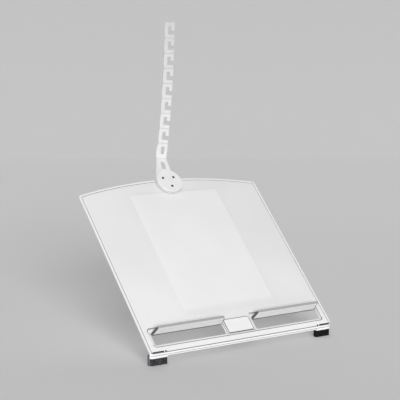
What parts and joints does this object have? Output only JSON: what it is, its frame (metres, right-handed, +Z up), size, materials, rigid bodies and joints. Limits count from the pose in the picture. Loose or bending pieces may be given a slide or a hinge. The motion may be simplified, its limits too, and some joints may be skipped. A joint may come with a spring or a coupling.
{
  "type": "document holder with drawer",
  "caption": "Sloping document holder hung from a notched strap, with two fold-up page ledges, rubber feet and a shallow paper drawer that slides out sideways behind the panel.",
  "frame": {"origin": "seat of a peg in the strap's top notch, from which the holder hangs", "axes": "+X to the right as seen by the reader, +Y away from the reader, +Z up; the panel rises towards +Y at 45 degrees"},
  "size_m": [0.45, 0.3307, 0.6546],
  "materials": {
    "opal_plastic": "frosted translucent sheet with a polished rim",
    "badge": "smooth satin, bare",
    "ledge_plastic": "satin moulded",
    "grip_rubber": "soft matte edging",
    "pin_steel": "plain steel",
    "plate_steel": "pressed sheet",
    "foot_rubber": "matte moulded rubber",
    "white_plastic": "satin moulded",
    "strap_plastic": "flexible, satin, slightly translucent",
    "black_screw": "black oxide",
    "drawer_plastic": "smooth moulded"
  },
  "bodies": {
    "panel": {"panel": "opal_plastic", "badge_plate": "badge", "foot_left": "foot_rubber", "foot_right": "foot_rubber", "hub_base": "white_plastic", "hub_washer": "white_plastic", "hub_cap": "white_plastic", "hub_screws": "black_screw", "hub_nuts": "pin_steel", "hub_back_plate": "plate_steel", "runner_upper": "drawer_plastic", "runner_lower": "drawer_plastic", "ledge_pins_left": "pin_steel", "ledge_pins_right": "pin_steel"},
    "strap_root": {"strap_root": "strap_plastic"},
    "strap": {"strap": "strap_plastic"},
    "ledge_left": {"ledge_left": "ledge_plastic", "ledge_grip_left": "grip_rubber"},
    "ledge_right": {"ledge_right": "ledge_plastic", "ledge_grip_right": "grip_rubber"},
    "drawer": {"drawer_tray": "drawer_plastic", "drawer_pull": "drawer_plastic", "drawer_pull_screws": "pin_steel"}
  },
  "joints": [
    {"name": "strap_swivel", "type": "hinge", "parent": "panel", "child": "strap_root", "pos_m": [-0.02455, -0.0334, -0.32954], "axis": [0, -0.7071, 0.7071], "continuous": true},
    {"name": "strap_fold", "type": "hinge", "parent": "strap_root", "child": "strap", "pos_m": [-0.0144, 0.01208, -0.28236], "axis": [0.9882, -0.1082, -0.1082], "range_deg": [-47.7, 42.3]},
    {"name": "ledge_left_fold", "type": "hinge", "parent": "panel", "child": "ledge_left", "pos_m": [-0.14455, -0.28266, -0.58912], "axis": [1, 0, 0], "range_deg": [0, 90]},
    {"name": "ledge_right_fold", "type": "hinge", "parent": "panel", "child": "ledge_right", "pos_m": [0.09545, -0.28266, -0.58912], "axis": [1, 0, 0], "range_deg": [0, 90]},
    {"name": "drawer_slide", "type": "slide", "parent": "panel", "child": "drawer", "axis": [1, 0, 0], "range_m": [0, 0.19]}
  ]
}
